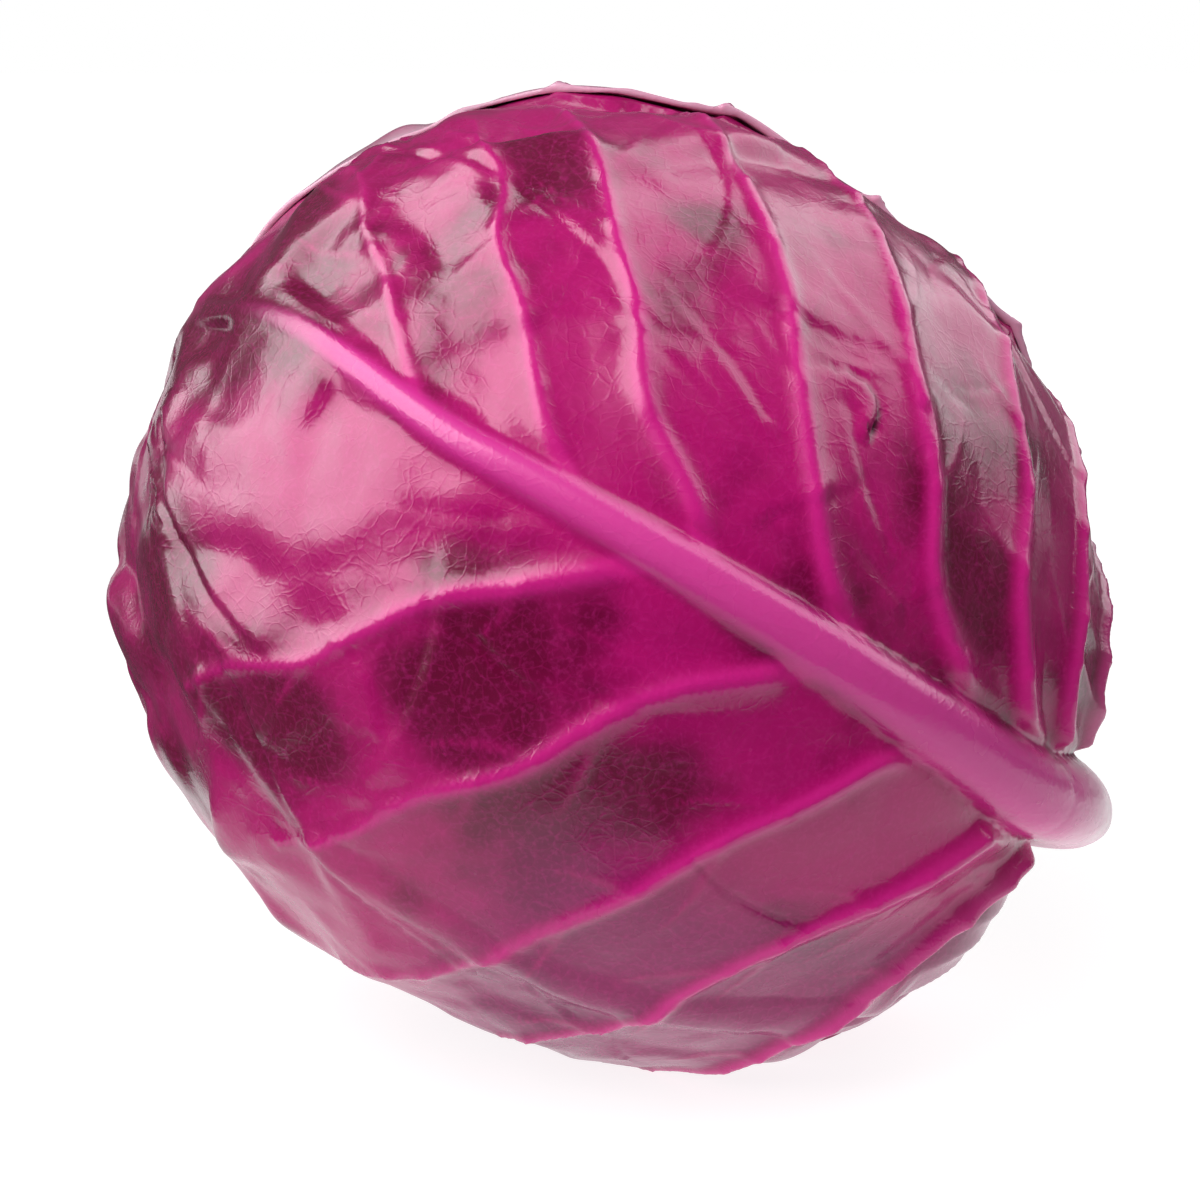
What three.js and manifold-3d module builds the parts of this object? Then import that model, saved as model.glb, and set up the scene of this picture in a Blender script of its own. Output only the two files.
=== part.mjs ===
// A head of red cabbage lying on its side on a small flat spot: a short cut stem, a tightly
// folded heart, and six wrapper leaves laid over it in turn like overlapping bowls.
// Units are millimetres and degrees, +Z is up, and the stem end points to +X and down.
import * as THREE from 'three';
import { mergeVertices } from 'three/addons/utils/BufferGeometryUtils.js';
import Module from 'manifold-3d';

// ---------------------------------------------------------------- driving dimensions
const HALF_WIDTH = 75;        // radius of the head across its stem axis
const HALF_LENGTH = 79.5;     // from its middle to either end of that axis
const STEM_PITCH = 31;        // the stem end points this far below level
const HEAD_ROLL = -74.7;      // turn about the stem axis that brings leaf_2_front to the front
const FLOOR_DROP = 74.4;      // from the head's middle down to the surface it rests on
const BLADE = 1.2;            // thickness of a leaf blade
const AIR = 1.7;              // space between one leaf and the next
const HEART_AIR = 1;          // extra space left around the heart
const DIMPLE_DEPTH = 5;       // hollow around the stem
const DIMPLE_SPREAD = 17;     // how far from the stem axis the hollow fades
const STEM_CUT = 75.5;        // from the head's middle to the cut face of the stem
const STEM_ROOT = 42;         // from the head's middle to the inner end of the stem
const STEM_FLARE = 10.3;      // half angle of the stem's taper
const STEM_ROOM = 1.2;        // extra half angle left around the stem inside the heart
const STALK_START = 12.2;     // a leaf's stalk starts this far from the stem axis
const SHOULDER = 6;           // how far the blade reaches past its stalk on either side of it
const SHOULDER_AT = 21;       // bearing of those shoulders, seen from the blade's middle
const SHOULDER_SPREAD = 9;
const STALK_GATHER = 0.18;    // draws the mesh together towards the stalk
const RIB_FADE = 150;         // a midrib has faded out this far from the stem pole
const MARGIN_CLEAR = 5;       // a covered leaf stays low this far past the margin over it
const MARGIN_RISE = 14;       // and is back at the head's own shape after this much more

// Broad lobes that make the head lopsided: world direction, height and spread.
const LOBES = [
  { toward: [-0.17, 0.2, 0.96], height: 2.2, spread: 32 },
  { toward: [0.64, 0.16, 0.75], height: -2.6, spread: 14 },
  { toward: [0.98, 0.04, 0.17], height: -2.2, spread: 17 },
  { toward: [-0.52, -0.17, -0.84], height: -2.8, spread: 14 },
  { toward: [0.44, -0.18, -0.88], height: 3.6, spread: 19 },
  { toward: [-0.99, 0, -0.08], height: 1.2, spread: 16 },
];

// The wrapper leaves, outermost first. Each grows 137.5 degrees of turn from the next.
// middle: the blade's middle, as degrees from the stem pole and turn from its own midrib.
// tip, left, right: how far the blade reaches from there. bay: a dip in its outline.
// rib: height and width of its midrib at the stalk. drop: depth of its base below the last one.
const LEAVES = [
  { name: 'leaf_1_back', turn: 137.5, middle: [88, 0], tip: 87, left: 75, right: 61,
    bay: { at: -140, depth: 5, spread: 14 }, rib: { height: 8.5, width: 8 }, drop: 0, cells: 22 },
  { name: 'leaf_2_front', turn: 0, middle: [85, -20], tip: 97, left: 107, right: 104,
    bay: { at: -38, depth: 12, spread: 14 }, rib: { height: 9.5, width: 7.5 }, drop: 0, cells: 24 },
  { name: 'leaf_3_under', turn: -137.5, middle: [88, 4], tip: 96, left: 90, right: 88,
    bay: { at: 150, depth: 6, spread: 14 }, rib: { height: 8, width: 8 }, drop: 0.8, cells: 20 },
  { name: 'leaf_4_top', turn: 85, middle: [90, 0], tip: 98, left: 88, right: 86,
    bay: { at: 150, depth: 6, spread: 12 }, rib: { height: 3.2, width: 7 }, drop: 2.5, cells: 18 },
  { name: 'leaf_5_belly', turn: -52.5, middle: [90, 0], tip: 99, left: 84, right: 88,
    bay: { at: -145, depth: 6, spread: 12 }, rib: { height: 3, width: 7 }, drop: 4, cells: 18 },
  { name: 'leaf_6_crown', turn: 170, middle: [92, 0], tip: 100, left: 88, right: 86,
    bay: { at: 160, depth: 5, spread: 12 }, rib: { height: 2.8, width: 7 }, drop: 5.5, cells: 18 },
];

const COLOURS = {
  blade: { color: 0x8d1a58, roughness: 0.36, metalness: 0 },
  heart: { color: 0x9a4f7d, roughness: 0.45, metalness: 0 },
  stem: { color: 0xd8d3b0, roughness: 0.6, metalness: 0 },
};

// ---------------------------------------------------------------- the head's own frame
// In this frame the stem pole is at -Z, the crown at +Z and leaf_2_front's midrib faces +X.
const radians = THREE.MathUtils.degToRad;
const degrees = THREE.MathUtils.radToDeg;
const placing = new THREE.Euler(0, radians(STEM_PITCH - 90), radians(HEAD_ROLL), 'YXZ');
const toWorld = new THREE.Quaternion().setFromEuler(placing);
const toHead = toWorld.clone().invert();
const DOWN = new THREE.Vector3(0, 0, -1).applyQuaternion(toHead);
const STEM_POLE = new THREE.Vector3(0, 0, -1);

function headDirection(fromStem, turn) {
  const across = Math.sin(radians(fromStem));
  return new THREE.Vector3(
    across * Math.cos(radians(turn)), across * Math.sin(radians(turn)), -Math.cos(radians(fromStem)));
}

function bump(distance, spread) {
  return Math.exp(-((distance / spread) ** 2));
}

// An angle brought into the range -180 to 180.
function signedTurn(angle) {
  return ((angle + 540) % 360) - 180;
}

function ease(x) {
  const t = THREE.MathUtils.clamp(x, 0, 1);
  return t * t * (3 - 2 * t);
}

const lobes = LOBES.map((lobe) => ({
  ...lobe, toward: new THREE.Vector3(...lobe.toward).normalize().applyQuaternion(toHead),
}));

// Distance from the head's middle to its outermost skin, without ribs, in one direction.
function skin(direction) {
  const along = direction.z;
  const across = Math.sqrt(Math.max(0, 1 - along * along));
  let radius = 1 / Math.hypot(along / HALF_LENGTH, across / HALF_WIDTH);
  for (const lobe of lobes) {
    radius += lobe.height * bump(degrees(direction.angleTo(lobe.toward)), lobe.spread);
  }
  radius -= DIMPLE_DEPTH * bump(degrees(direction.angleTo(STEM_POLE)), DIMPLE_SPREAD);
  return radius;
}

// The resting surface cuts the skin off, which leaves the small flat spot.
function floorLimit(direction) {
  const down = direction.dot(DOWN);
  return down > 0.1 ? FLOOR_DROP / down : Infinity;
}

// ---------------------------------------------------------------- leaf outlines
const leaves = LEAVES.map((leaf) => {
  const middle = headDirection(leaf.middle[0], leaf.turn + leaf.middle[1]);
  const toStem = STEM_POLE.clone().addScaledVector(middle, -STEM_POLE.dot(middle)).normalize();
  const toLeft = middle.clone().cross(toStem);
  return { ...leaf, centre: middle, toStem, toLeft, stem: leaf.middle[0] - STALK_START };
});

// How far the blade reaches from its middle at one bearing, 0 being towards the stem.
function reach(leaf, bearing) {
  const along = Math.cos(radians(bearing));
  const across = Math.sin(radians(bearing));
  const lengthwise = Math.abs(along) / (along > 0 ? leaf.stem : leaf.tip);
  const sideways = Math.abs(across) / (across > 0 ? leaf.left : leaf.right);
  const full = (lengthwise ** 2.3 + sideways ** 2.3) ** (-1 / 2.3);
  const shoulder = SHOULDER * bump(Math.abs(bearing) - SHOULDER_AT, SHOULDER_SPREAD);
  return full + shoulder - leaf.bay.depth * bump(signedTurn(bearing - leaf.bay.at), leaf.bay.spread);
}

// 1 where a leaf lies over a direction, easing to 0 outside its margin.
function cover(leaf, direction) {
  const across = direction.dot(leaf.toLeft);
  const along = direction.dot(leaf.toStem);
  const away = degrees(Math.atan2(Math.hypot(across, along), direction.dot(leaf.centre)));
  const bearing = degrees(Math.atan2(across, along));
  const slope = (reach(leaf, bearing + 1) - reach(leaf, bearing - 1)) / 2;
  const skew = Math.hypot(1, slope / Math.max(0.2, Math.hypot(across, along)));
  const past = (away - reach(leaf, bearing)) / skew;
  return 1 - ease((past - MARGIN_CLEAR) / MARGIN_RISE);
}

// Height of a leaf's midrib above its blade: thick at the stalk, fading towards the tip.
function midrib(leaf, direction) {
  const fromStem = degrees(direction.angleTo(STEM_POLE));
  const sideTurn = signedTurn(degrees(Math.atan2(direction.y, direction.x)) - leaf.turn);
  if (Math.abs(sideTurn) > 90) return 0;
  const sideways = HALF_WIDTH * Math.sin(radians(fromStem)) * Math.sin(radians(sideTurn));
  const left = Math.max(0, 1 - fromStem / RIB_FADE);
  const width = leaf.rib.width * (0.35 + 0.65 * left);
  return leaf.rib.height * left ** 1.8 * bump(sideways, width);
}

// ---------------------------------------------------------------- layers
// Outer radius of the leaf at one place in the stack, or of the heart when past the last leaf.
function layerTop(index, direction) {
  let radius = Math.min(skin(direction), floorLimit(direction));
  for (const over of leaves.slice(0, index)) {
    radius -= (BLADE + AIR) * cover(over, direction);
  }
  for (const under of leaves.slice(index)) {
    radius += midrib(under, direction);
  }
  const isHeart = index === leaves.length;
  const drop = isHeart ? leaves[index - 1].drop + 2 : leaves[index].drop;
  radius -= drop * bump(degrees(direction.angleTo(STEM_POLE)), 26) + (isHeart ? HEART_AIR : 0);
  return Math.min(radius, floorLimit(direction));
}

function leafGeometry(index) {
  const leaf = leaves[index];
  const box = new THREE.BoxGeometry(2, 2, 2, leaf.cells, leaf.cells, 1);
  const place = box.attributes.position;
  for (let i = 0; i < place.count; i++) {
    const u = place.getX(i) * Math.abs(place.getX(i)) ** 0.35;
    const v = place.getY(i) - STALK_GATHER * (1 - place.getY(i) ** 2);
    const across = u * Math.sqrt(1 - v * v / 2);
    const along = -v * Math.sqrt(1 - u * u / 2);
    const bearing = Math.atan2(across, along);
    const away = radians(Math.hypot(across, along) * reach(leaf, degrees(bearing)));
    const direction = leaf.centre.clone().multiplyScalar(Math.cos(away));
    direction.addScaledVector(leaf.toStem, Math.sin(away) * Math.cos(bearing));
    direction.addScaledVector(leaf.toLeft, Math.sin(away) * Math.sin(bearing));
    const top = layerTop(index, direction);
    const radius = place.getZ(i) > 0 ? top : top - BLADE - midrib(leaf, direction);
    direction.multiplyScalar(radius);
    place.setXYZ(i, direction.x, direction.y, direction.z);
  }
  return closed(box);
}

function closed(geometry) {
  geometry.deleteAttribute('normal');
  geometry.deleteAttribute('uv');
  const merged = mergeVertices(geometry, 1e-4);
  merged.computeVertexNormals();
  return merged;
}

// ---------------------------------------------------------------- stem and heart
// A frustum along the stem axis whose sides point at the head's middle.
function taper(start, end, flare, sides) {
  const slope = Math.tan(radians(flare));
  const cone = new THREE.CylinderGeometry(end * slope, start * slope, end - start, sides, 2);
  cone.rotateX(-Math.PI / 2);
  cone.translate(0, 0, -(start + end) / 2);
  return closed(cone);
}

function heartGeometry() {
  const ball = new THREE.SphereGeometry(1, 34, 22);
  ball.rotateX(Math.PI / 2);
  const place = ball.attributes.position;
  for (let i = 0; i < place.count; i++) {
    const direction = new THREE.Vector3().fromBufferAttribute(place, i).normalize();
    direction.multiplyScalar(layerTop(leaves.length, direction));
    place.setXYZ(i, direction.x, direction.y, direction.z);
  }
  return closed(ball);
}

const manifold = await Module();
manifold.setup();

function solid(geometry) {
  const vertProperties = Float32Array.from(geometry.attributes.position.array);
  const triVerts = Uint32Array.from(geometry.index.array);
  return new manifold.Manifold(new manifold.Mesh({ numProp: 3, vertProperties, triVerts }));
}

function fromSolid(shape) {
  const mesh = shape.getMesh();
  const geometry = new THREE.BufferGeometry();
  geometry.setAttribute('position', new THREE.BufferAttribute(mesh.vertProperties, 3));
  geometry.setIndex(new THREE.BufferAttribute(mesh.triVerts, 1));
  return closed(geometry);
}

function heartAroundStem() {
  const room = taper(STEM_ROOT - 1, STEM_CUT + 10, STEM_FLARE + STEM_ROOM, 24);
  return fromSolid(solid(heartGeometry()).subtract(solid(room)));
}

// ---------------------------------------------------------------- the assembly
const head = new THREE.Group();
head.quaternion.copy(toWorld);

function add(name, geometry, finish) {
  const mesh = new THREE.Mesh(geometry, new THREE.MeshStandardMaterial(finish));
  mesh.name = name;
  head.add(mesh);
}

add('stem', taper(STEM_ROOT, STEM_CUT, STEM_FLARE, 24), COLOURS.stem);
add('heart', heartAroundStem(), COLOURS.heart);
leaves.forEach((leaf, index) => add(leaf.name, leafGeometry(index), COLOURS.blade));

// The origin is the middle of the bottom of the whole head's box.
const cabbage = new THREE.Group();
cabbage.add(head);
cabbage.updateMatrixWorld(true);
const size = new THREE.Box3().setFromObject(cabbage, true);
head.position.set(-(size.min.x + size.max.x) / 2, -(size.min.y + size.max.y) / 2, -size.min.z);

export default cabbage;
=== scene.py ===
# A head of red cabbage on a pale studio floor. Every leaf is a closed sheet laid over the next one
# in, shaped here in the head's own frame in millimetres and degrees, then placed where the CAD is.
import math

import bpy
import numpy as np
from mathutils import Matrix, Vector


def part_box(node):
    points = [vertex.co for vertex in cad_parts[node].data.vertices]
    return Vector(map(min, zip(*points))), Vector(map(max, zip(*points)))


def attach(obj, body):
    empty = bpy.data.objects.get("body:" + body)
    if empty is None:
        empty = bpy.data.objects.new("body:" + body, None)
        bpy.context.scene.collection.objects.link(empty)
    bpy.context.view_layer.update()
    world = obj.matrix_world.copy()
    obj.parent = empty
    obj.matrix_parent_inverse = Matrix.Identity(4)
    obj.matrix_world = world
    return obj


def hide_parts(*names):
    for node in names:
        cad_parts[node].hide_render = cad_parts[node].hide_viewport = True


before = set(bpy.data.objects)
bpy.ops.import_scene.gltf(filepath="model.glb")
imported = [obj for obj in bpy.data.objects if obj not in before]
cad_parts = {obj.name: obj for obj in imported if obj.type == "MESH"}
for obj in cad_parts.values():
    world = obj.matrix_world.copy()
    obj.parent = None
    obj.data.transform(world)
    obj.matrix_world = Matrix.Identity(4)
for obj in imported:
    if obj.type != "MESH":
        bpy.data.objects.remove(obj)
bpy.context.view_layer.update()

# ------------------------------------------------------------------ the head, as the CAD has it
HALF_WIDTH = 75.0         # radius across the stem axis
HALF_LENGTH = 79.5        # along it
STEM_PITCH = 31.0         # the stem end points this far below level
HEAD_ROLL = -74.7         # turn about the stem axis that brings the front leaf to the front
FLOOR_DROP = 74.4         # from the head's middle down to the floor
DIMPLE_DEPTH = 5.0
DIMPLE_SPREAD = 17.0
STEM_CUT = 75.5           # from the head's middle to the cut face
STEM_ROOT = 42.0
STEM_FLARE = 10.3
STALK_START = 12.2
SHOULDER = 6.0
SHOULDER_AT = 21.0
SHOULDER_SPREAD = 9.0
STALK_GATHER = 0.18

# Broad lobes that make the head lopsided: world direction, height and spread.
LOBES = [
    ((-0.17, 0.2, 0.96), 2.2, 32),
    ((0.64, 0.16, 0.75), -2.6, 14),
    ((0.98, 0.04, 0.17), -2.2, 17),
    ((-0.52, -0.17, -0.84), -2.8, 14),
    ((0.44, -0.18, -0.88), 3.6, 19),
    ((-0.99, 0.0, -0.08), 1.2, 16),
]

# The wrapper leaves, outermost first, outlined as in the CAD. All angles are in degrees.
# turn: of the midrib about the stem axis. middle: the blade's middle, from the stem pole and in
# turn from its midrib. tip, left, right: how far the blade reaches from there. bay: bearing, depth
# and spread of a dip in its outline. rib: factors on the midrib's height and half width.
# drop: millimetres its base lies below the last one. cells: squares along one side of its mesh.
# lift: bearing, millimetres and spread of each loose stretch of its margin.
LEAVES = [
    dict(name="leaf_1_back", turn=137.5, middle=(88, 0), tip=87, left=75, right=61,
         bay=(-140, 5, 14), rib=(0.85, 1.0), drop=0.0, cells=240,
         lift=[(-110, 0.5, 12), (-146, 0.3, 13)], seed=11),
    dict(name="leaf_2_front", turn=0.0, middle=(85, -20), tip=97, left=107, right=104,
         bay=(-38, 12, 14), rib=(1.0, 1.0), drop=0.0, cells=304,
         lift=[(-75, 1.0, 18), (95, 0.6, 20)], seed=23),
    dict(name="leaf_3_under", turn=-137.5, middle=(88, 4), tip=96, left=90, right=88,
         bay=(150, 6, 14), rib=(0.8, 1.0), drop=0.8, cells=200,
         lift=[(120, 0.8, 25)], seed=37),
    dict(name="leaf_4_top", turn=85.0, middle=(90, 0), tip=98, left=88, right=86,
         bay=(150, 6, 12), rib=(0.3, 0.9), drop=2.5, cells=140,
         lift=[(90, 0.4, 25)], seed=41),
    dict(name="leaf_5_belly", turn=-52.5, middle=(90, 0), tip=99, left=84, right=88,
         bay=(-145, 6, 12), rib=(0.28, 0.9), drop=4.0, cells=140,
         lift=[(90, 0.4, 25)], seed=53),
    dict(name="leaf_6_crown", turn=170.0, middle=(92, 0), tip=100, left=88, right=86,
         bay=(160, 5, 12), rib=(0.26, 0.9), drop=5.5, cells=140,
         lift=[(90, 0.4, 25)], seed=67),
]

# ------------------------------------------------------------------ how the leaves look
# A midrib from stalk to tip: degrees from the stem pole, then its height and half width in
# millimetres.
RIB_AT = (12, 20, 32, 52, 72, 110, 150, 162)
RIB_HEIGHT = (11.0, 8.4, 5.4, 3.7, 2.8, 1.6, 0.6, 0.0)
RIB_HALF_WIDTH = (7.4, 7.2, 6.6, 5.5, 4.7, 3.2, 1.8, 0.9)
RIB_GROOVE = 0.5          # depth of the crease on either side of a midrib
BLADE = 0.9               # room for the blade's thickness over the next leaf
THIN_BLADE = 0.6          # its thickness in the hollows
LAYER = 2.9               # depth of one leaf, with its air, well inside its margin
MARGIN_STEP = 1.2         # the same right at its margin
SETTLE = 16.0             # how far inside the margin the depth is reached
SAG = 1.1                 # the blade lies this much flatter between two veins
SAG_REACH = 6.5           # distance from a vein over which it sags
MEAN_RADIUS = 76.0        # turns angles into lengths on the leaf
OUTLINE_POWER = 2.3       # 2 would make a blade's outline elliptical, and more makes it squarer
PALE_RIM = (-146.0, 17.0) # bearing and spread of the pale stretch of leaf_1_back's margin

# Side veins of the front leaf. Side of the midrib (1 is the photo's upper side),
# degrees from the stem pole where the vein leaves it, how far it climbs towards the crown at
# first and then per degree of turn, the turn it ends at, half width and height in millimetres.
FRONT_VEINS = [
    (1, 6, 12, 0.3, 75, 1.8, 1.4),
    (1, 20, 15, 0.3, 75, 1.8, 1.3),
    (1, 32, 15, 0.4, 75, 2.0, 1.4),
    (1, 48, 15, 0.45, 75, 2.0, 1.3),
    (1, 66, 15, 0.45, 75, 2.0, 1.2),
    (1, 86, 15, 0.4, 70, 1.9, 1.1),
    (1, 104, 12, 0.35, 60, 1.5, 0.9),
    (1, 122, 12, 0.3, 60, 1.2, 0.7),
    (-1, 92, 15, 0.45, 55, 1.9, 1.1),
    (-1, 70, 15, 0.45, 60, 2.1, 1.2),
    (-1, 50, 12, 0.45, 75, 1.9, 1.1),
    (-1, 30, 10, 0.5, 75, 2.0, 1.4),
    (-1, 15, 8, 0.4, 90, 2.0, 1.7),
]
# Painted shade: the front leaf's blade is darkened in these patches, kept off its veins so that it
# lies in the hollows between them.
# Darker patches of its blade: from the stem pole, turn and spread in degrees.
FRONT_PAINTED_SHADE = [
    (120, -40, 10), (105, -25, 10), (85, -25, 10), (105, 40, 8), (125, 45, 9),
    (155, 35, 8), (145, -50, 9), (60, 20, 7),
]
# Its larger folds and its tear: from the stem pole, turn, heading round from the
# crown, bend, length in millimetres, half width and depth.
FRONT_CREASES = [
    (150, 60, -145, -25, 70, 0.8, 0.5),
    (128, -45, -150, 20, 60, 0.8, 0.5),
    (112, -16, -115, -35, 30, 0.8, 0.5),
    (160, -35, -160, 30, 45, 0.9, 0.7),
    (80, 24, 115, 150, 14, 0.55, 1.1),
    (76, 31, -150, -60, 9, 0.45, 0.6),
    (70, 60, -150, 20, 30, 0.8, 0.5),
    (40, 50, 80, 30, 14, 0.8, 0.7),
]
# Where a side vein leaves the midrib on the other leaves, in degrees from the stem pole, and the
# turns it passes through.
VEIN_STARTS = (14, 34, 54, 74, 93, 110, 126)
VEIN_TURNS = (1, 5, 12, 24, 40, 58, 78)
FIRST_CLIMB = 12          # turn over which a side vein makes most of its first climb
CHANCE_CREASES = 40       # on each leaf


# ------------------------------------------------------------------ small maths
def bump(distance, spread):
    return np.exp(-(distance / spread) ** 2)


def ease(x):
    t = np.clip(x, 0.0, 1.0)
    return t * t * (3.0 - 2.0 * t)


def signed_turn(angle):
    return (angle + 180.0) % 360.0 - 180.0


def unit(v):
    v = np.asarray(v, float)
    return v / np.linalg.norm(v, axis=-1, keepdims=True)


def angle_between(directions, other):
    return np.degrees(np.arccos(np.clip(directions @ np.asarray(other), -1.0, 1.0)))


def turned(axis, degrees):
    c, s = math.cos(math.radians(degrees)), math.sin(math.radians(degrees))
    if axis == "y":
        return np.array([[c, 0, s], [0, 1, 0], [-s, 0, c]])
    return np.array([[c, -s, 0], [s, c, 0], [0, 0, 1]])


def on_head(from_stem, turn):
    a, t = np.radians(from_stem), np.radians(turn)
    return np.stack([np.sin(a) * np.cos(t), np.sin(a) * np.sin(t), -np.cos(a)], -1)


TABLE = np.random.default_rng(5).random(65536)


def lattice(cell, seed):
    """One steady random number for each whole-number cell."""
    mixed = cell[..., 0] * 73856093 ^ cell[..., 1] * 19349663 ^ cell[..., 2] * 83492791
    return TABLE[(mixed ^ (seed * 2654435)) & 65535]


def noise(points, size, seed):
    """Smooth noise from -1 to 1 with bumps about size millimetres across."""
    scaled = points / size + seed * 0.37
    cell = np.floor(scaled).astype(np.int64)
    part = scaled - cell
    part = part * part * (3.0 - 2.0 * part)
    total = 0.0
    for corner in np.ndindex(2, 2, 2):
        corner = np.array(corner)
        weight = np.prod(np.where(corner, part, 1.0 - part), axis=-1)
        total = total + weight * lattice(cell + corner, seed)
    return 2.0 * total - 1.0


def facets(points, size, tilt, seed, sharpness=9.0):
    """Flat patches about size millimetres across, each tilted its own way, with creases between."""
    scaled = points / size + seed * 0.53
    cell = np.floor(scaled).astype(np.int64)
    weights = 0.0
    heights = 0.0
    for step in np.ndindex(3, 3, 3):
        here = cell + np.array(step) - 1
        middle = here + np.stack([lattice(here, seed + k) for k in (1, 2, 3)], -1)
        slope = np.stack([lattice(here, seed + k) for k in (4, 5, 6)], -1) - 0.5
        away = scaled - middle
        weight = np.exp(-sharpness * np.linalg.norm(away, axis=-1))
        weights = weights + weight
        heights = heights + weight * np.sum(slope * away, axis=-1)
    return heights / weights * size * 2.0 * tilt


# ------------------------------------------------------------------ the head's own frame
# In this frame the stem pole is at -Z, the crown at +Z and the front leaf's midrib faces +X.
TO_WORLD = turned("y", STEM_PITCH - 90.0) @ turned("z", HEAD_ROLL)
DOWN = TO_WORLD.T @ np.array([0.0, 0.0, -1.0])
STEM_POLE = np.array([0.0, 0.0, -1.0])
head_lobes = [(TO_WORLD.T @ unit(toward), height, spread) for toward, height, spread in LOBES]

stem_low, stem_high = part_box("stem")
cut_radius = STEM_CUT * math.tan(math.radians(STEM_FLARE))
pitch = math.radians(STEM_PITCH)
stem_reach = STEM_CUT * math.cos(pitch) + cut_radius * math.sin(pitch)
MIDDLE = np.array([
    stem_high.x * 1000.0 - stem_reach,
    (stem_low.y + stem_high.y) * 500.0,
    FLOOR_DROP,
])


def to_world(points):
    return (points @ TO_WORLD.T + MIDDLE) / 1000.0


def skin(directions):
    along = directions[:, 2]
    across = np.sqrt(np.clip(1.0 - along ** 2, 0.0, 1.0))
    radius = 1.0 / np.hypot(along / HALF_LENGTH, across / HALF_WIDTH)
    for toward, height, spread in head_lobes:
        radius += height * bump(angle_between(directions, toward), spread)
    return radius - DIMPLE_DEPTH * bump(angle_between(directions, STEM_POLE), DIMPLE_SPREAD)


def floor_limit(directions):
    down = directions @ DOWN
    return np.where(down > 0.1, FLOOR_DROP / np.maximum(down, 0.1), 1e6)


# ------------------------------------------------------------------ leaf outlines
for leaf in LEAVES:
    centre = on_head(leaf["middle"][0], leaf["turn"] + leaf["middle"][1])
    leaf["centre"] = centre
    leaf["to_stem"] = unit(STEM_POLE - centre * (STEM_POLE @ centre))
    leaf["to_left"] = np.cross(centre, leaf["to_stem"])
    leaf["stem"] = leaf["middle"][0] - STALK_START


def reach(leaf, bearing):
    """How far the blade reaches from its middle at each bearing, 0 being towards the stem."""
    along = np.cos(np.radians(bearing))
    across = np.sin(np.radians(bearing))
    lengthwise = np.abs(along) / np.where(along > 0, leaf["stem"], leaf["tip"])
    sideways = np.abs(across) / np.where(across > 0, leaf["left"], leaf["right"])
    full = (lengthwise ** OUTLINE_POWER + sideways ** OUTLINE_POWER) ** (-1 / OUTLINE_POWER)
    at, depth, spread = leaf["bay"]
    full += SHOULDER * bump(np.abs(signed_turn(bearing)) - SHOULDER_AT, SHOULDER_SPREAD)
    return full - depth * bump(signed_turn(bearing - at), spread)


def bearing_of(leaf, directions):
    return np.degrees(np.arctan2(directions @ leaf["to_left"], directions @ leaf["to_stem"]))


def inside_margin(leaf, directions):
    """Millimetres from each direction in to the leaf's margin, negative outside it."""
    side = np.hypot(directions @ leaf["to_left"], directions @ leaf["to_stem"])
    away = np.degrees(np.arctan2(side, directions @ leaf["centre"]))
    bearing = bearing_of(leaf, directions)
    slope = (reach(leaf, bearing + 1.0) - reach(leaf, bearing - 1.0)) / 2.0
    skew = np.hypot(1.0, slope / np.maximum(0.2, side))
    return (reach(leaf, bearing) - away) / skew * math.radians(MEAN_RADIUS)


def on_leaf(leaf, directions):
    """Degrees from the stem pole, and turn from the leaf's own midrib."""
    turn = np.degrees(np.arctan2(directions[:, 1], directions[:, 0]))
    return angle_between(directions, STEM_POLE), signed_turn(turn - leaf["turn"])


def midrib_stray(from_stem):
    """Degrees of turn by which a midrib leaves its meridian, at its stalk and towards its tip."""
    return 12.0 * bump(from_stem - 12.0, 14.0) + 8.0 * ease((from_stem - 115.0) / 45.0)


def beside_midrib(leaf, directions):
    """Millimetres sideways from the midrib's line, and its half width there."""
    from_stem, turn = on_leaf(leaf, directions)
    turn = turn - midrib_stray(from_stem)
    sideways = HALF_WIDTH * np.sin(np.radians(from_stem)) * np.abs(np.sin(np.radians(turn)))
    sideways = np.where(np.abs(turn) < 90.0, sideways, 50.0)
    return sideways, leaf["rib"][1] * np.interp(from_stem, RIB_AT, RIB_HALF_WIDTH)


def midrib(leaf, directions):
    sideways, width = beside_midrib(leaf, directions)
    height = leaf["rib"][0] * np.interp(angle_between(directions, STEM_POLE), RIB_AT, RIB_HEIGHT)
    return height * np.clip(1.0 - (sideways / width) ** 2, 0.0, 1.0) ** 0.7


# ------------------------------------------------------------------ veins
def smooth_path(points, step=0.7):
    """Unit vectors, step millimetres apart, on a smooth curve through (from stem, turn) points."""
    knots = np.array([points[0]] + list(points) + [points[-1]], float)
    path = []
    for a, b, c, d in zip(knots, knots[1:], knots[2:], knots[3:]):
        for t in np.linspace(0.0, 1.0, 12, endpoint=False):
            path.append(0.5 * (2 * b + (c - a) * t + (2 * a - 5 * b + 4 * c - d) * t ** 2
                               + (3 * b - a - 3 * c + d) * t ** 3))
    path.append(knots[-1])
    path = np.array(path)
    rough = on_head(path[:, 0], path[:, 1])
    gone = np.concatenate([[0.0], np.cumsum(np.linalg.norm(np.diff(rough, axis=0), axis=1))])
    wanted = np.arange(0.0, gone[-1], step / MEAN_RADIUS)
    return unit(np.stack([np.interp(wanted, gone, rough[:, k]) for k in range(3)], -1))


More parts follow.
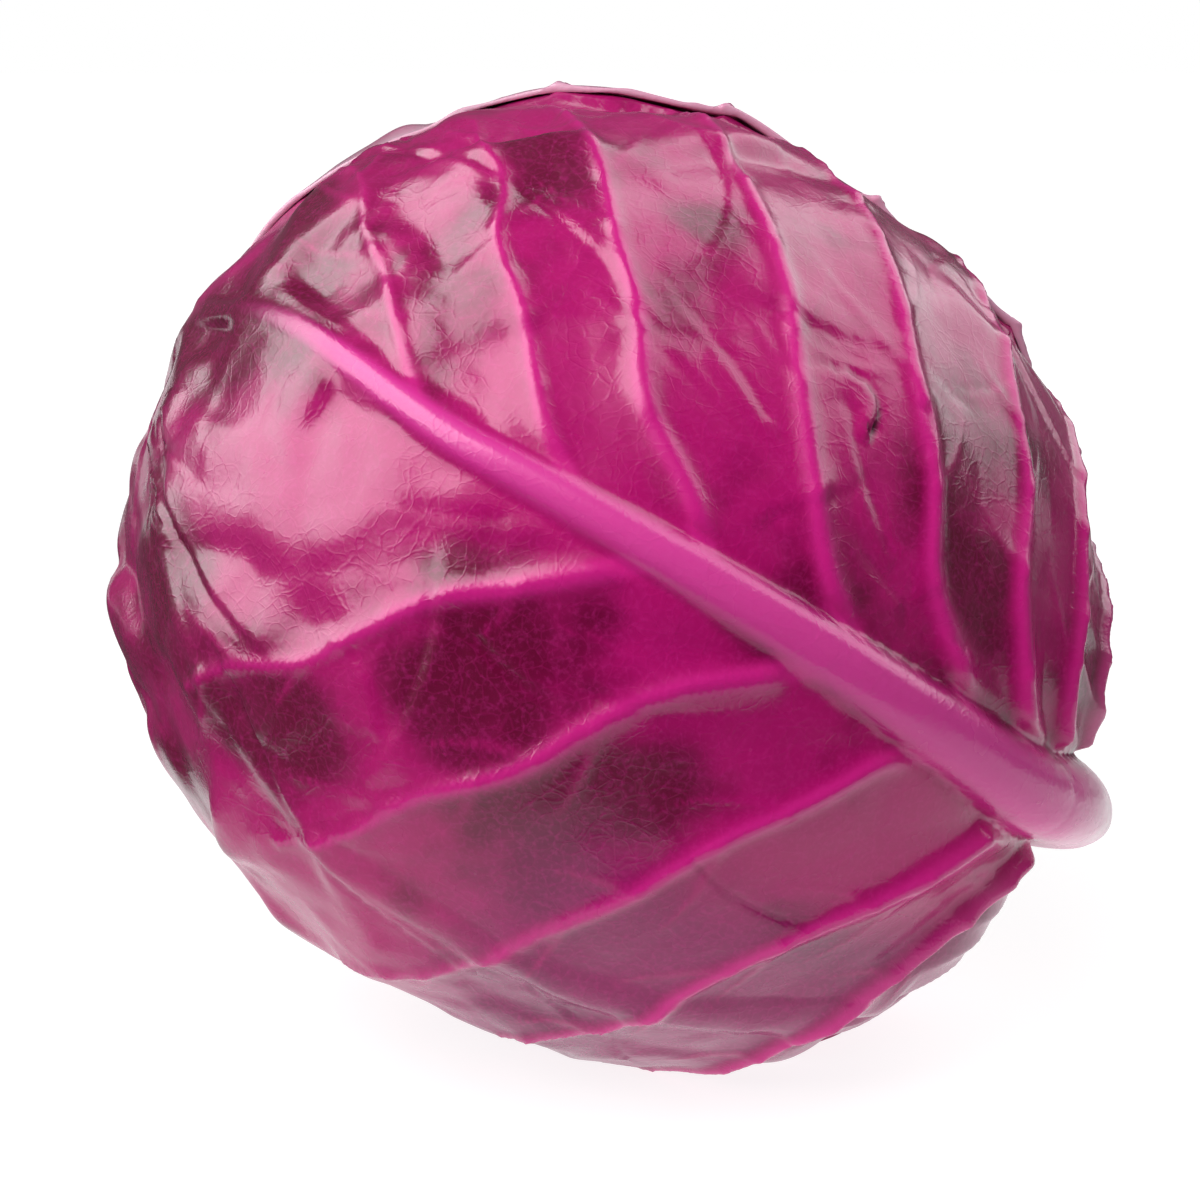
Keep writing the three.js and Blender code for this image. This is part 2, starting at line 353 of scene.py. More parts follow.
def branch_path(start, heading, bend, length, step=0.7):
    """A curve on the unit sphere from a start point, bending steadily by bend degrees."""
    count = max(3, int(length / step))
    here, ahead = start.copy(), heading.copy()
    path = [here]
    for _ in range(count):
        aside = np.cross(here, ahead)
        turn = math.radians(bend / count)
        ahead = unit(ahead * math.cos(turn) + aside * math.sin(turn))
        here = unit(here + ahead * step / MEAN_RADIUS)
        ahead = unit(ahead - here * (ahead @ here))
        path.append(here)
    return np.array(path)


def swept(side, leave, rise, slope, turns):
    """Points of a side vein that leaves the midrib low, then sweeps outwards and to the crown."""
    return [(leave + rise * (1 - math.exp(-t / FIRST_CLIMB)) + slope * t, side * t) for t in turns]


def side_veins(random):
    """Side veins of a leaf of no special pattern."""
    veins = []
    for side in (1, -1):
        for start in VEIN_STARTS:
            leave = start + random.uniform(-4, 4)
            rise, slope = random.uniform(17, 24), random.uniform(0.2, 0.34)
            turns = VEIN_TURNS[:7 if start < 100 else 5]
            points = swept(side, leave, rise, slope, turns)
            veins.append((points, random.uniform(1.6, 2.1), random.uniform(0.9, 1.4)))
    return veins


def front_side_veins(random):
    """The front leaf's own side veins, each with a slight waver."""
    veins = []
    for side, leave, rise, slope, end, width, height in FRONT_VEINS:
        turns = end * np.linspace(0.1, 1.0, 8) ** 1.6
        straight = swept(side, leave, rise, slope, turns)
        points = [(from_stem + random.uniform(-1.4, 1.4), turn) for from_stem, turn in straight]
        points[0] = (points[0][0], points[0][1] + midrib_stray(leave))
        veins.append((points, width, height))
    return veins


def joined(lines, thinning):
    """Points, half widths and heights along a set of lines, and which way each line runs."""
    places, widths, heights, ahead = [], [], [], []
    for path, width, height in lines:
        fade = np.linspace(1.0, thinning, len(path))
        places.append(path)
        widths.append(width * fade)
        heights.append(height * fade)
        ahead.append(np.gradient(path, axis=0))
    return [np.concatenate(part) for part in (places, widths, heights, ahead)]


def vein_network(leaf):
    """A leaf's side veins, and the twigs that fork off them to alternate sides."""
    random = np.random.default_rng(leaf["seed"])
    veins = front_side_veins(random) if leaf["name"] == "leaf_2_front" else side_veins(random)
    lines, twigs = [], []
    for points, width, height in veins:
        path = smooth_path([(a, t + leaf["turn"]) for a, t in points])
        lines.append((path, width, height))
        side = random.choice((-1, 1))
        for share in np.arange(0.22, 0.95, 0.12):
            at = int((share + random.uniform(-0.03, 0.03)) * (len(path) - 3))
            ahead = unit(path[at + 2] - path[at])
            aside = np.cross(path[at], ahead)
            fork = math.radians(side * random.uniform(34, 55))
            heading = unit(ahead * math.cos(fork) + aside * math.sin(fork))
            twig = branch_path(path[at], heading, -side * random.uniform(5, 45),
                               random.uniform(9, 24))
            twigs.append((twig, 1.1, 0.32))
            side = -side
    return joined(lines, 0.4), joined(twigs, 0.2)


def aimed(start, heading):
    """The way along the head that lies heading degrees round from the crown."""
    across = unit(np.cross([0.0, 0.0, 1.0], start))
    up = np.cross(start, across)
    return up * math.cos(math.radians(heading)) + across * math.sin(math.radians(heading))


def crease_network(leaf):
    """The front leaf's own folds, and chance creases on every leaf."""
    random = np.random.default_rng(leaf["seed"] + 100)
    lines = []
    if leaf["name"] == "leaf_2_front":
        for at, turn, heading, bend, length, width, depth in FRONT_CREASES:
            start = on_head(at, turn)
            lines.append((branch_path(start, aimed(start, heading), bend, length), width, depth))
    for _ in range(CHANCE_CREASES):
        start = on_head(random.uniform(55, 165), leaf["turn"] + random.uniform(-85, 85))
        heading = unit(np.cross(start, unit(random.normal(size=3))))
        path = branch_path(start, heading, random.uniform(-70, 70), random.uniform(7, 30))
        lines.append((path, 0.7, random.uniform(0.15, 0.45)))
    return joined(lines, 0.5)


def nearest_line(network, directions):
    """Millimetres to the nearest line, its half width and height there, and the side."""
    places, widths, heights, ahead = network
    index = np.empty(len(directions), int)
    for low in range(0, len(directions), 6000):
        index[low:low + 6000] = np.argmax(directions[low:low + 6000] @ places.T, axis=1)
    apart = directions - places[index]
    distance = np.linalg.norm(apart, axis=1) * MEAN_RADIUS
    side = np.sum(np.cross(places[index], ahead[index]) * apart, axis=1)
    return distance, widths[index], heights[index], np.sign(side)


for leaf in LEAVES:
    leaf["veins"], leaf["twigs"] = vein_network(leaf)
    leaf["creases"] = crease_network(leaf)


# ------------------------------------------------------------------ relief of one leaf
def folds_at_base(from_stem, turn, points, seed):
    """Narrow pleats that gather towards the stalk, and how pale each spot between them is."""
    stray = noise(points, 16.0, seed + 3)
    zone = ease((48.0 + 7.0 * stray - from_stem) / 30.0) * ease((np.abs(turn) - 12.0) / 12.0)
    wave = np.sin(np.radians(turn * 19.0 + 110.0 * stray))
    crest = (1.0 - np.abs(wave)) * (0.6 + 0.4 * noise(points, 10.0, seed + 6))
    near_stem = ease((44.0 - from_stem) / 34.0)
    height = 1.7 * crest * zone * ease((from_stem - 8.0) / 22.0)
    return height, near_stem * zone * (0.5 + 0.7 * crest)


def margin_lift(leaf, directions, margin, points):
    """The margin stands off a little where it has come loose, and ripples slightly elsewhere."""
    bearing = bearing_of(leaf, directions)
    loose = 0.0
    for at, height, spread in leaf["lift"]:
        loose = loose + height * bump(signed_turn(bearing - at), spread)
    ripple = 0.2 * noise(points, 9.0, leaf["seed"] + 5)
    return (1.0 - ease(margin / 12.0)) * (loose * (0.8 + 0.4 * noise(points, 12.0, 4)) + ripple)


def relief(leaf, directions):
    """Height of veins, hollows, crumples and folds over the plain leaf, and masks for colour,
    painted shade and a painted highlight.
    """
    seed = leaf["seed"]
    points = directions * MEAN_RADIUS
    from_stem, turn = on_leaf(leaf, directions)
    margin = inside_margin(leaf, directions)
    distance, width, height, side = nearest_line(leaf["veins"], directions)
    twig_distance, twig_width, twig_height, _ = nearest_line(leaf["twigs"], directions)
    nearest_crease = nearest_line(leaf["creases"], directions)
    crease_distance, crease_width, crease_depth, crease_side = nearest_crease
    sideways, rib_width = beside_midrib(leaf, directions)
    beside_rib = np.maximum(0.0, sideways - rib_width)

    # a side vein is steep towards the stem and runs out gently the other way near the base
    low = ease((62.0 - from_stem) / 26.0)
    towards_crown = np.where(side * np.sign(turn) < 0.0, 1.0, 0.0)
    spread = width * (1.0 + 1.3 * low * towards_crown)
    off_rib = ease(beside_rib / 3.0)
    vein = np.exp(-(distance / spread) ** 1.8)
    twig = np.exp(-(twig_distance / twig_width) ** 1.8)
    ridge = height * vein * (0.3 + 0.7 * off_rib) * (1.0 + 0.9 * low) + twig_height * twig * off_rib
    free = np.minimum(distance, beside_rib)
    sag = -SAG * (1.0 - np.exp(-(free / SAG_REACH) ** 1.3))

    crumple = np.maximum(ease((from_stem - 108.0) / 26.0), ease((-turn - 44.0) / 20.0))
    crumple = np.maximum(crumple, ease((turn - 42.0) / 20.0) * ease((from_stem - 50.0) / 20.0))
    crumple = 0.2 + 0.8 * crumple
    if leaf["name"] != "leaf_2_front":
        crumple = np.maximum(crumple, 0.75)
    rough = facets(points, 19.0, 0.16, seed, 13.0) + facets(points, 8.5, 0.06, seed + 7, 11.0)
    wave = 0.45 * noise(points, 32.0, seed) + 0.14 * noise(points, 11.0, seed + 1)
    crease = np.exp(-(crease_distance / crease_width) ** 2)
    lip = (1.0 - crease) * np.exp(-crease_distance / 4.5) * (crease_side > 0)
    wave += crease_depth * (1.1 * lip - 0.9 * crease)

    pleats, pale_pleats = folds_at_base(from_stem, turn, points, seed)
    total = ridge + sag + crumple * rough + wave + pleats
    on_rib = 1.0 - ease((beside_rib + 0.01) / 2.0)
    total *= 1.0 - 0.85 * on_rib
    total -= RIB_GROOVE * bump(sideways - rib_width, 1.7) * ease((150.0 - from_stem) / 60.0)
    total += margin_lift(leaf, directions, margin, points) * ease((from_stem - 22.0) / 20.0)
    rib = np.clip(1.15 - (sideways / rib_width) ** 2, 0.0, 1.0) * ease((166.0 - from_stem) / 45.0)
    if leaf["name"] == "leaf_1_back":
        rim = bump(signed_turn(bearing_of(leaf, directions) - PALE_RIM[0]), PALE_RIM[1])
        pale_pleats = np.maximum(pale_pleats, rim * np.exp(-np.maximum(margin, 0.0) / 4.0))
    # Painted shade: darker patches of the front leaf's blade, faded out near its veins and midrib.
    painted_shade = np.zeros(len(directions))
    if leaf["name"] == "leaf_2_front":
        for at, around, spread in FRONT_PAINTED_SHADE:
            away = angle_between(directions, on_head(at, around))
            painted_shade = np.maximum(painted_shade, bump(away + 5.0 * noise(points, 9.0, seed + 8), spread))
        painted_shade *= 1.0 - 0.85 * np.exp(-free / 2.5)
    masks = dict(
        vein=np.maximum(vein * np.clip(height / 0.9, 0.25, 1.0), 0.3 * twig),
        rib=rib,
        painted_shade=painted_shade,
        stalk=np.maximum(rib * ease((35.0 - from_stem) / 18.0), 0.8 * pale_pleats),
        margin=np.exp(-np.maximum(margin, 0.0) / 3.0),
        # Painted shade: near black along the deeper creases and the tear.
        crease_shade=crease * np.clip(crease_depth * 1.2 - 0.45, 0.0, 1.0),
        # Painted shade: on the side of the midrib with negative turn, towards the stem, the blade
        # is mixed to a darker violet; on the front leaf that is its lower side.
        under=ease((-turn - 22.0) / 16.0) * ease((100.0 - from_stem) / 20.0),
    )
    return total, masks


def layer_depth(leaf, directions):
    """How far a leaf pushes the ones under it inwards, easing out past its margin."""
    margin = inside_margin(leaf, directions)
    under = MARGIN_STEP + (LAYER - MARGIN_STEP) * ease(margin / SETTLE)
    return np.where(margin > -2.0, under, MARGIN_STEP * (1.0 - ease((-2.0 - margin) / 12.0)))


def plain_top(index, directions):
    """Outer radius of a leaf before its relief."""
    radius = np.minimum(skin(directions), floor_limit(directions))
    for over in LEAVES[:index]:
        radius -= layer_depth(over, directions)
    for under in LEAVES[index:]:
        radius += midrib(under, directions)
    drop = LEAVES[index]["drop"] if index < len(LEAVES) else LEAVES[-1]["drop"] + 2.0
    return radius - drop * bump(angle_between(directions, STEM_POLE), 26.0)


def leaf_top(index, directions):
    """Outer radius of a leaf with its relief, kept under the leaves over it and above the floor."""
    leaf = LEAVES[index]
    height, masks = relief(leaf, directions)
    hidden = np.zeros(len(directions))
    radius = plain_top(index, directions)
    ceiling = floor_limit(directions)
    close, share = np.zeros(len(directions)), np.zeros(len(directions))
    for above, over in enumerate(LEAVES[:index]):
        margin = inside_margin(over, directions)
        hidden = np.maximum(hidden, ease((margin + 3.0) / 8.0))
        under = margin > -1.5
        if under.any():
            spots = directions[under]
            rise = relief(over, spots)[0]
            lid = plain_top(above, spots) + rise - midrib(over, spots) - BLADE - 0.2
            ceiling[under] = np.minimum(ceiling[under], lid)
            slack = margin_lift(over, spots, margin[under], spots * MEAN_RADIUS)
            pressed = bump(margin[under] - 2.0, 4.0)
            close[under] = np.maximum(close[under], pressed * (lid - np.maximum(0.0, slack)))
            share[under] = np.maximum(share[under], pressed)
    from_stem, _ = on_leaf(leaf, directions)
    end = np.clip((from_stem - STALK_START) / 3.5, 0.0, 1.0)
    rounding = 0.8 * midrib(leaf, directions) * (1.0 - np.sqrt(1.0 - (1.0 - end) ** 2))
    radius = radius + height * (1.0 - 0.85 * hidden) - rounding
    radius = np.maximum(radius, radius * (1.0 - share) + close)
    return np.minimum(radius, ceiling), masks


# ------------------------------------------------------------------ leaf meshes
def leaf_grid(leaf, cells):
    """Directions of a square grid stretched over the leaf's outline, row by row."""
    v, u = np.meshgrid(np.linspace(-1, 1, cells + 1), np.linspace(-1, 1, cells + 1), indexing="ij")
    v = v - STALK_GATHER * (1.0 - v ** 2)
    across = u * np.sqrt(1.0 - v * v / 2.0)
    along = -v * np.sqrt(1.0 - u * u / 2.0)
    bearing = np.arctan2(across, along).ravel()
    away = np.radians(np.hypot(across, along).ravel() * reach(leaf, np.degrees(bearing)))
    return (leaf["centre"] * np.cos(away)[:, None]
            + leaf["to_stem"] * (np.sin(away) * np.cos(bearing))[:, None]
            + leaf["to_left"] * (np.sin(away) * np.sin(bearing))[:, None])


def grid_faces(cells, first, flip):
    index = np.arange((cells + 1) ** 2).reshape(cells + 1, cells + 1) + first
    quads = np.stack([index[:-1, :-1], index[:-1, 1:], index[1:, 1:], index[1:, :-1]], -1)
    quads = quads.reshape(-1, 4)
    return (quads[:, ::-1] if flip else quads).tolist()


def border(cells, first):
    """Indices around the edge of a grid, in order."""
    index = np.arange((cells + 1) ** 2).reshape(cells + 1, cells + 1) + first
    return np.concatenate([index[0, :-1], index[:-1, -1], index[-1, :0:-1], index[:0:-1, 0]])


def rim_faces(outer, inner):
    """Triangles between a fine border and a coarse one that follow each other."""
    ratio = len(outer) // len(inner)
    faces = []
    for k, low in enumerate(inner):
        following = inner[(k + 1) % len(inner)]
        for step in range(ratio):
            a = outer[k * ratio + step]
            b = outer[(k * ratio + step + 1) % len(outer)]
            faces.append((int(b), int(a), int(low)))
            if step == ratio - 1:
                faces.append((int(b), int(low), int(following)))
    return faces


def new_piece(name, points, faces, masks, node, material):
    mesh = bpy.data.meshes.new(name)
    mesh.from_pydata(points.tolist(), [], faces)
    mesh.shade_smooth()
    for key, values in masks.items():
        layer = mesh.attributes.new(key, "FLOAT", "POINT")
        layer.data.foreach_set("value", values.astype(np.float32))
    piece = bpy.data.objects.new(name, mesh)
    bpy.context.collection.objects.link(piece)
    mesh.materials.append(material)
    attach(piece, "root")
    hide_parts(node)
    return piece


def lowest_nearby(grid, steps):
    """The lowest value within so many steps along each row and column."""
    for axis in (0, 1):
        padding = [(steps, steps) if axis == a else (0, 0) for a in (0, 1)]
        padded = np.pad(grid, padding, mode="edge")
        count = grid.shape[axis]
        shifted = [np.take(padded, range(k, k + count), axis) for k in range(2 * steps + 1)]
        grid = np.min(shifted, axis=0)
    return grid


def build_leaf(index, material):
    leaf = LEAVES[index]
    cells, coarse = leaf["cells"], leaf["cells"] // 4
    outside = leaf_grid(leaf, cells)
    top, masks = leaf_top(index, outside)
    inside = leaf_grid(leaf, coarse)
    rows = np.arange(0, cells + 1, 4)
    picked = (rows[:, None] * (cells + 1) + rows[None, :]).ravel()
    hollow = lowest_nearby((top - midrib(leaf, outside)).reshape(cells + 1, cells + 1), 3)
    bottom = hollow.ravel()[picked] - THIN_BLADE
    points = np.concatenate([outside * top[:, None], inside * bottom[:, None]])
    faces = grid_faces(cells, 0, False) + grid_faces(coarse, len(outside), True)
    faces += rim_faces(border(cells, 0), border(coarse, len(outside)))
    masks = {key: np.concatenate([value, value[picked]]) for key, value in masks.items()}
    name = leaf["name"]
    return new_piece(name + "_sheet", to_world(points), faces, masks, name, material)


def build_heart(material):
    around, rows = 160, 90
    turn, from_stem = np.meshgrid(np.linspace(0, 360, around, endpoint=False),
                                  np.linspace(14.0, 180.0, rows), indexing="xy")
    directions = on_head(from_stem.ravel(), turn.ravel())
    folds = 0.8 * np.sin(np.radians(3 * turn.ravel() + from_stem.ravel() * 4.0))
    height = folds + facets(directions * MEAN_RADIUS, 12.0, 0.08, 91) - 1.0
    top = plain_top(len(LEAVES), directions) + height
    points = directions * top[:, None]
    rim = points[:around] * 0.72
    points = np.concatenate([points, rim, [[0, 0, -STEM_ROOT + 2.0]]])
    faces = []
    for row in range(rows - 1):
        for k in range(around):
            a, b = row * around + k, row * around + (k + 1) % around
            faces.append((a, a + around, b + around, b)[::-1])
    low, bottom = rows * around, rows * around + around
    for k in range(around):
        b = (k + 1) % around
        faces.append((k, b, low + b, low + k)[::-1])
        faces.append((low + k, low + b, bottom)[::-1])
    masks = dict(vein=np.clip(np.append(np.tile(folds[:around], rows + 1), 0.0), 0, 1))
    return new_piece("heart_folds", to_world(points), faces, masks, "heart", material)


def build_stem(material):
    """The stump: a fibrous cut face, a rounded rim and a lobed side."""
    around = 128
    slope = math.tan(math.radians(STEM_FLARE))
    # distance along the axis and share of the side's radius, from the face's middle to the root
    profile = [(0.0, s) for s in np.linspace(0.03, 0.9, 22)]
    profile += [(-0.15, 0.94), (-0.5, 0.97), (-1.2, 0.99), (-2.4, 1.0)]
    profile += [(-d, 1.0) for d in np.linspace(4.0, STEM_CUT - STEM_ROOT, 16)]
    angle = np.linspace(0, 2 * math.pi, around, endpoint=False)
    rings = []
    shares = []
    for back, share in profile:
        reach_out = (STEM_CUT + back) * slope * share
        lobed = 1.0 - 0.03 * share ** 2 * (1.0 - np.cos(5.0 * angle + 0.6))
        ring = np.stack([reach_out * lobed * np.cos(angle), reach_out * lobed * np.sin(angle),
                         np.full(around, -(STEM_CUT + back))], -1)
        rough = 0.35 * noise(ring, 4.0, 71) + 0.15 * noise(ring, 1.3, 72)
        pith = 0.9 * bump(share, 0.42) if back == 0.0 else 0.0
        ring[:, 2] += (0.4 + rough + pith) * (1.0 if back > -1.0 else 0.0)
        rings.append(ring)
        shares.append(np.full(around, share if back > -2.0 else 2.0))
    points = np.concatenate(rings + [[[0, 0, rings[0][0, 2]]], [[0, 0, -STEM_ROOT]]])
    shares = np.concatenate(shares + [[0.0, 2.0]])
    faces = []
    for row in range(len(profile) - 1):
        for k in range(around):
            a, b = row * around + k, row * around + (k + 1) % around
            faces.append((a, b, b + around, a + around)[::-1])
    last, face_middle, root = (len(profile) - 1) * around, len(points) - 2, len(points) - 1
    for k in range(around):
        b = (k + 1) % around
        faces.append((face_middle, b, k)[::-1])
        faces.append((last + k, last + b, root)[::-1])
    return new_piece("stem_stump", to_world(points), faces, dict(share=shares), "stem", material)


# ------------------------------------------------------------------ materials
class Nodes:
    """A short way to write one material's node tree."""

    def __init__(self, name):
        self.material = bpy.data.materials.new(name)
        self.material.use_nodes = True
        self.tree = self.material.node_tree
        self.shader = self.tree.nodes["Principled BSDF"]

    def add(self, kind, inputs=None, **settings):
        node = self.tree.nodes.new(kind)
        for key, value in settings.items():
            setattr(node, key, value)
        for key, value in (inputs or {}).items():
            self.put(value, node.inputs[key])
        return node

    def put(self, value, socket):
        if isinstance(value, bpy.types.NodeSocket):
            self.tree.links.new(value, socket)
        else:
            socket.default_value = value

    def mask(self, name):
        return self.add("ShaderNodeAttribute", attribute_name=name).outputs["Fac"]

    def math(self, operation, a, b=0.0):
        return self.add("ShaderNodeMath", {0: a, 1: b}, operation=operation).outputs[0]

    def mix(self, share, a, b):
        node = self.add("ShaderNodeMix", {"Factor": share}, data_type="RGBA")
        self.put(a, node.inputs[6])
        self.put(b, node.inputs[7])
        return node.outputs[2]

    def ramp(self, value, *stops):
        limits = dict(zip(("From Min", "From Max", "To Min", "To Max"), stops))
        node = self.add("ShaderNodeMapRange", {"Value": value, **limits})
        node.interpolation_type = "SMOOTHSTEP"
        return node.outputs[0]

    def noise(self, place, size, detail=3.0, roughness=0.55):
        inputs = {"Vector": place, "Scale": 1000.0 / size, "Detail": detail, "Roughness": roughness}
        return self.add("ShaderNodeTexNoise", inputs).outputs["Fac"]

    def web(self, place, size):
        """Distance to the nearest line of a net of veinlets, 0 on a line."""
        return self.add("ShaderNodeTexVoronoi", {"Vector": place, "Scale": 1000.0 / size},
                        feature="DISTANCE_TO_EDGE").outputs["Distance"]

    def place(self):
        return self.add("ShaderNodeTexCoord").outputs["Object"]

    def wobbled(self, place, size, amount):
        shift = self.add("ShaderNodeTexNoise", {"Vector": place, "Scale": 1000.0 / size})
        centred = self.add("ShaderNodeVectorMath", {0: shift.outputs["Color"], 1: (0.5, 0.5, 0.5)},
                           operation="SUBTRACT")
        scaled = self.add("ShaderNodeVectorMath", {0: centred.outputs[0], "Scale": amount / 1000.0},
                          operation="SCALE")
        moved = self.add("ShaderNodeVectorMath", {0: place, 1: scaled.outputs[0]}, operation="ADD")
        return moved.outputs[0]

    def bumped(self, height, depth, under=None):
        inputs = {"Height": height, "Distance": depth / 1000.0, "Strength": 1.0}
        node = self.add("ShaderNodeBump", inputs)
        if under is not None:
            self.put(under, node.inputs["Normal"])
        return node.outputs[0]


def leaf_material(name, dark, full, gloss):
    """Waxy leaf: dark and full patches, veins, a fine net and pale edges, from the mesh's masks,
    with painted shade between the veins, on one side and in creases, and a painted highlight on the
    midrib.
    """
    m = Nodes(name)
    place = m.place()
    bent = m.wobbled(place, 7.0, 4.0)
    vein, stalk, margin = m.mask("vein"), m.mask("stalk"), m.mask("margin")
    patches = m.ramp(m.noise(place, 27.0, 3.0, 0.55), 0.34, 0.56, 0.0, 1.0)
    painted_shade = m.ramp(m.mask("painted_shade"), 0.15, 0.8, 0.0, 0.95)
    near_vein = m.ramp(vein, 0.0, 0.25, 0.0, 0.4)

    blade = m.mix(patches, (*dark, 1), (*full, 1))
    # Painted shade: the blade is mixed towards its dark colour where the shade mask is high.
    blade = m.mix(painted_shade, blade, (*dark, 1))
    # Painted shade: a darker violet on one side of the midrib near the stem, from the under mask.
    blade = m.mix(m.math("MULTIPLY", m.mask("under"), 0.75), blade, (*UNDERSIDE_SHADE, 1))
    blade = m.mix(near_vein, blade, (*full, 1))
    net = m.ramp(m.web(bent, 6.5), 0.0, 0.05, 1.0, 0.0)
    fine_net = m.ramp(m.web(bent, 2.3), 0.0, 0.09, 1.0, 0.0)
    shown = m.ramp(m.noise(place, 21.0), 0.45, 0.7, 0.0, 0.12)
    lines = m.math("MAXIMUM", m.math("MULTIPLY", net, shown), m.math("MULTIPLY", fine_net, 0.1))
    blade = m.mix(lines, blade, (*VEIN, 1))
    blade = m.mix(m.ramp(vein, 0.12, 0.8, 0.0, 0.85), blade, (*VEIN, 1))
    blade = m.mix(m.ramp(m.mask("rib"), 0.0, 0.9, 0.0, 1.0), blade, (*MIDRIB, 1))
    # Painted highlight: a pale pink line along the crest of each midrib.
    blade = m.mix(m.ramp(m.mask("rib"), 0.6, 1.15, 0.0, 0.14), blade, (*RIB_HIGHLIGHT, 1))
    grain = m.ramp(m.noise(place, 0.8, 2.0), 0.45, 0.75, 0.0, 0.16)
    blade = m.mix(grain, blade, (*MIDRIB, 1))
    bloom = m.ramp(m.noise(place, 38.0, 5.0, 0.65), 0.5, 0.8, 0.0, 0.03)
    blade = m.mix(bloom, blade, (*BLOOM, 1))
    streaks = m.ramp(m.noise(place, 5.0, 3.0), 0.3, 0.7, 0.75, 1.0)
    blade = m.mix(m.math("MULTIPLY", stalk, streaks), blade, (*PALE, 1))
    blade = m.mix(m.math("MULTIPLY", margin, 0.65), blade, (*EDGE, 1))
    # Painted shade: near black along the deeper creases and the tear, from the scar mask.
    blade = m.mix(m.math("MULTIPLY", m.mask("crease_shade"), 0.85), blade, (*CREASE_SHADE, 1))
    m.put(blade, m.shader.inputs["Base Color"])

    wax = m.ramp(m.noise(place, 13.0, 4.0), 0.3, 0.7, gloss, gloss + 0.08)
    m.put(wax, m.shader.inputs["Roughness"])
    normal = m.bumped(m.noise(place, 4.5, 2.0), 0.06)
    normal = m.bumped(m.noise(place, 0.8, 3.0), 0.03, normal)
    normal = m.bumped(net, 0.015, normal)
    normal = m.bumped(fine_net, 0.012, normal)
    m.put(normal, m.shader.inputs["Normal"])
    m.shader.inputs["IOR"].default_value = 1.42
    m.shader.inputs["Subsurface Weight"].default_value = 0.05
    m.shader.inputs["Subsurface Radius"].default_value = (1.0, 0.25, 0.45)
    m.shader.inputs["Subsurface Scale"].default_value = 0.0015
    m.shader.inputs["Coat Weight"].default_value = 0.1
    m.shader.inputs["Coat Roughness"].default_value = 0.15
    return m.material


def stem_material():
    """Cut flesh with a ring and tan marks, and a pinkish side."""
    m = Nodes("stem_flesh")
    place = m.place()
    share = m.mask("share")
    ring = m.ramp(m.math("ABSOLUTE", m.math("SUBTRACT", share, 0.68)), 0.0, 0.14, 1.0, 0.0)
    mottle = m.noise(place, 2.2, 4.0)
    flesh = m.mix(mottle, (0.66, 0.62, 0.42, 1), (0.83, 0.80, 0.64, 1))
    broken = m.ramp(m.noise(place, 1.0), 0.35, 0.6, 0.2, 0.75)
    flesh = m.mix(m.math("MULTIPLY", ring, broken), flesh, (0.5, 0.46, 0.24, 1))
    tanned = m.ramp(m.noise(place, 7.0, 5.0, 0.7), 0.52, 0.72, 0.0, 0.55)
    flesh = m.mix(tanned, flesh, (0.36, 0.22, 0.10, 1))
    side = m.ramp(share, 0.93, 1.3, 0.0, 0.85)
    flesh = m.mix(side, flesh, (0.55, 0.34, 0.40, 1))
    m.put(flesh, m.shader.inputs["Base Color"])
    m.put(m.ramp(mottle, 0.2, 0.8, 0.42, 0.62), m.shader.inputs["Roughness"])
    m.put(m.bumped(m.noise(place, 0.9, 4.0), 0.3), m.shader.inputs["Normal"])
    m.shader.inputs["Subsurface Weight"].default_value = 0.15
    m.shader.inputs["Subsurface Scale"].default_value = 0.002
    return m.material


# ------------------------------------------------------------------ the cabbage
# The dark and full colour of the blade on the front leaf, the back leaf and the others.
FRONT_BLADE = (0.13, 0.0015, 0.030), (0.41, 0.004, 0.130)
BACK_BLADE = (0.12, 0.0015, 0.030), (0.36, 0.004, 0.120)
INNER_BLADE = (0.12, 0.002, 0.03), (0.34, 0.005, 0.115)
VEIN = (0.60, 0.014, 0.225)
MIDRIB = (0.66, 0.028, 0.285)
# Painted highlight: pale pink along a midrib's crest.
RIB_HIGHLIGHT = (0.80, 0.25, 0.52)
# Painted shade: the darker violet of the front leaf's lower side.
UNDERSIDE_SHADE = (0.20, 0.006, 0.088)
PALE = (0.80, 0.58, 0.66)
EDGE = (0.80, 0.46, 0.60)
BLOOM = (0.4, 0.22, 0.33)
# Painted shade: the near black of the deeper creases and the tear.
CREASE_SHADE = (0.04, 0.002, 0.012)
front = leaf_material("front_leaf", *FRONT_BLADE, 0.215)
back = leaf_material("back_leaf", *BACK_BLADE, 0.25)
inner = leaf_material("inner_leaf", *INNER_BLADE, 0.27)

for index, leaf in enumerate(LEAVES):
    finish = {"leaf_1_back": back, "leaf_2_front": front}.get(leaf["name"], inner)
    build_leaf(index, finish)
build_heart(inner)
build_stem(stem_material())


# ------------------------------------------------------------------ studio
FLOOR_GLOW = (0.86, 1.03)  # the floor's own light near the head and far from it
FLOOR_NEAR, FLOOR_FAR = 0.15, 1.2
ROOM_LIGHT = 0.1           # of the world, except where the camera sees it as plain white
# Lamps: name, direction from the head, distance and size in metres, watts, and what it adds.
# A "shine" lamp only makes reflections and a "light" lamp only lights surfaces.
SOFTBOXES = [
    ("left_shine", (-0.76, -0.16, 0.58), 0.9, (1.1, 1.1), 24.0, "shine"),
    ("right_shine", (0.6, 0.28, 0.68), 0.9, (1.0, 1.0), 9.5, "shine"),
    ("front_key", (-0.35, -0.68, 0.72), 0.9, (0.7, 0.7), 9.8, "light"),
    ("back_fill", (0.45, 0.75, 0.6), 0.9, (0.9, 0.9), 3.4, "light"),
]
